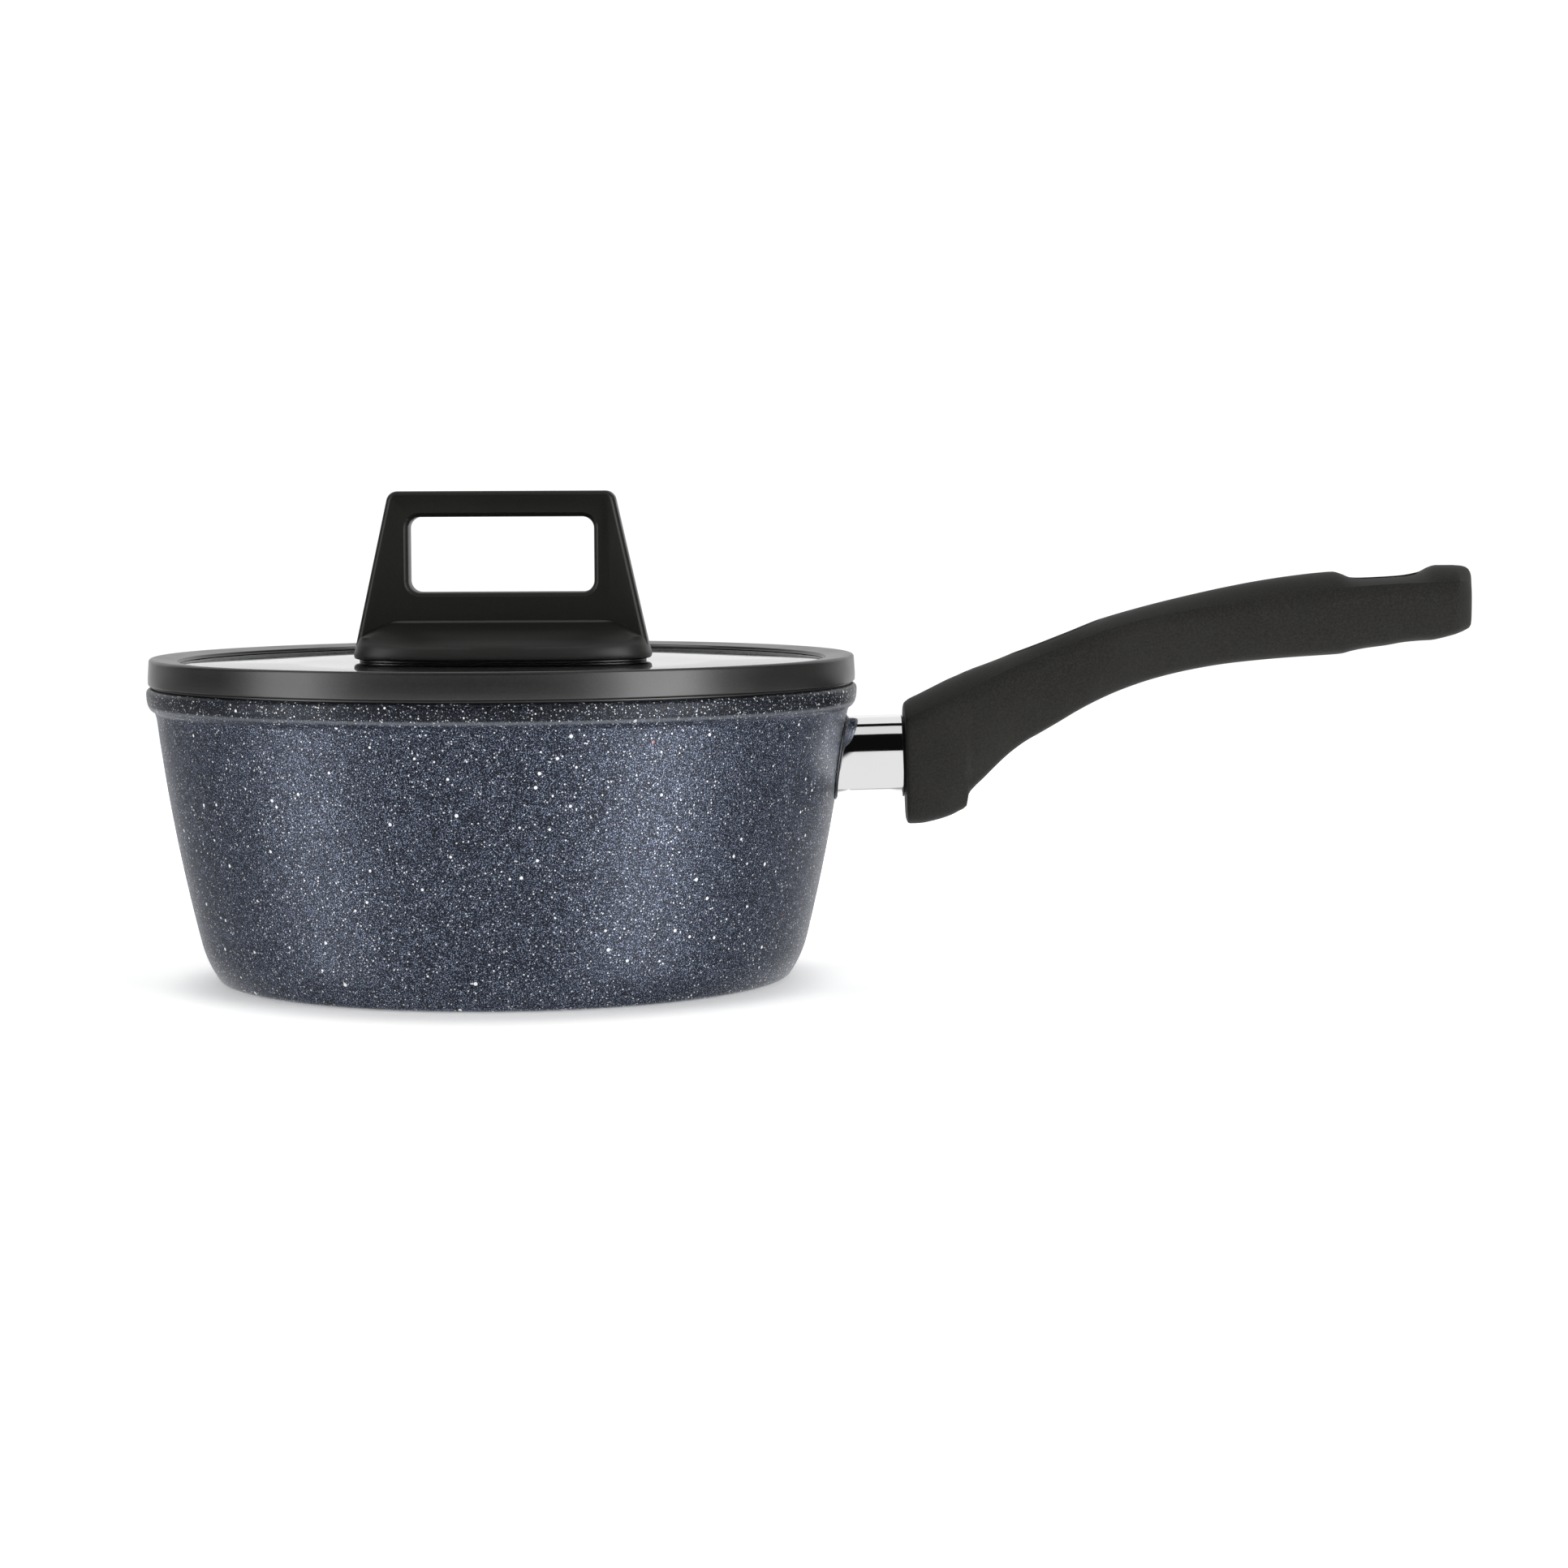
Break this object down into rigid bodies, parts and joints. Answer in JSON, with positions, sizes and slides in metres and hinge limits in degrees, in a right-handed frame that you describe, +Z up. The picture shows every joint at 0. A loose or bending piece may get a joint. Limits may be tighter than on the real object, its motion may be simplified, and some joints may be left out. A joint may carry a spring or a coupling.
{
  "type": "saucepan with glass lid",
  "caption": "Coated cast aluminium saucepan with a flared wall, a long upswept grip on a chrome sleeve, and a lift-off glass lid with a silicone rim and a frame-shaped knob.",
  "frame": {"origin": "centre of the flat base, on the surface that the pan stands on", "axes": "+Z up along the vessel's axis, +X along the grip, away from the pan"},
  "size_m": [0.3861, 0.2066, 0.1417],
  "materials": {
    "coated_aluminium": "satin non-stick coating, dark navy with fine pale speckle",
    "base_steel": "turned satin",
    "silicone": "matt black silicone",
    "chrome": "polished",
    "zinc_steel": "zinc plated",
    "stainless": "polished stainless steel",
    "brass": "machined",
    "grip_bakelite": "matt warm charcoal with a fine grain",
    "knob_bakelite": "smooth matt black",
    "glass": "clear tempered glass, ground edge"
  },
  "bodies": {
    "pan": {"pan_body": "coated_aluminium", "base_disc": "base_steel", "guard_gasket": "silicone", "flame_guard": "chrome", "lug_insert": "zinc_steel", "handle_grip": "grip_bakelite", "handle_washer": "zinc_steel", "handle_lock_washer": "zinc_steel", "handle_screw": "zinc_steel"},
    "lid_rim": {"rim_seal": "silicone"},
    "lid": {"lid_glass": "glass", "vent_bush": "silicone", "vent_eyelet": "stainless", "knob_body": "knob_bakelite", "knob_gasket": "silicone", "knob_insert": "brass", "glass_grommet": "silicone", "knob_washer": "stainless", "knob_lock_washer": "stainless", "knob_screw": "stainless"}
  },
  "joints": [
    {"name": "lid_lift", "type": "slide", "parent": "pan", "child": "lid_rim", "axis": [0, 0, 1], "range_m": [0, 0.12]},
    {"name": "lid_turn", "type": "hinge", "parent": "lid_rim", "child": "lid", "pos_m": [0, 0, 0.089], "axis": [0, 0, 1], "continuous": true}
  ]
}
